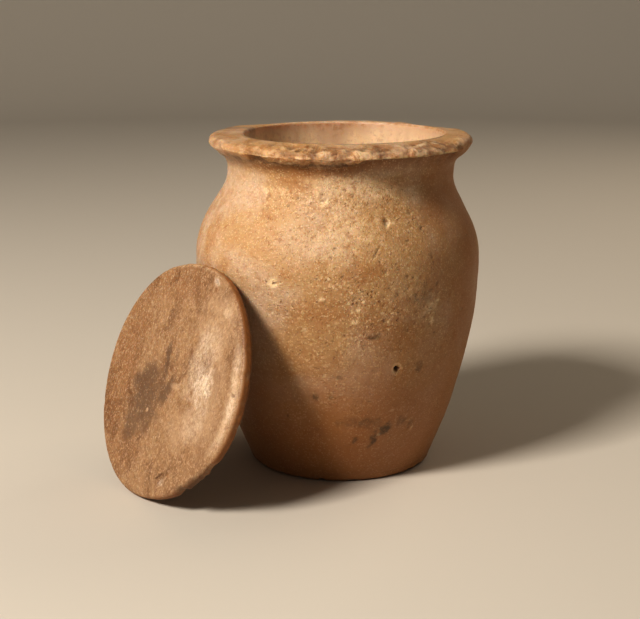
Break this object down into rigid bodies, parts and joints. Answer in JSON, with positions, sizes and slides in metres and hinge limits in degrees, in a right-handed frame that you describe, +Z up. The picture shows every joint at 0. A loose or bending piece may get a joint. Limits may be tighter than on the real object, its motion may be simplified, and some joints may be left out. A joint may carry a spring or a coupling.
{
  "type": "lidded alabaster vase",
  "caption": "Ancient alabaster jar with a high shoulder, short neck and chipped flared lip, hollow and empty, with its flat round stone lid leaning against it.",
  "frame": {"origin": "centre of the foot's flat underside, where the vase stands", "axes": "+Z up along the vase's turning axis, -Y towards the viewer's side, where the lip is broken away most, +X to the viewer's right; the lid leans on the -X, -Y side"},
  "size_m": [0.1362, 0.1258, 0.12],
  "materials": {
    "vase_alabaster": "worn honey-tan calcite alabaster, granular and pitted, faintly translucent, with pale crystal flecks and brown stains",
    "lid_alabaster": "worn brown-tan alabaster with a mottled, fibrous grain, low polish and a grey-brown stain"
  },
  "bodies": {
    "root": {"vase": "vase_alabaster", "lid": "lid_alabaster"}
  },
  "joints": []
}
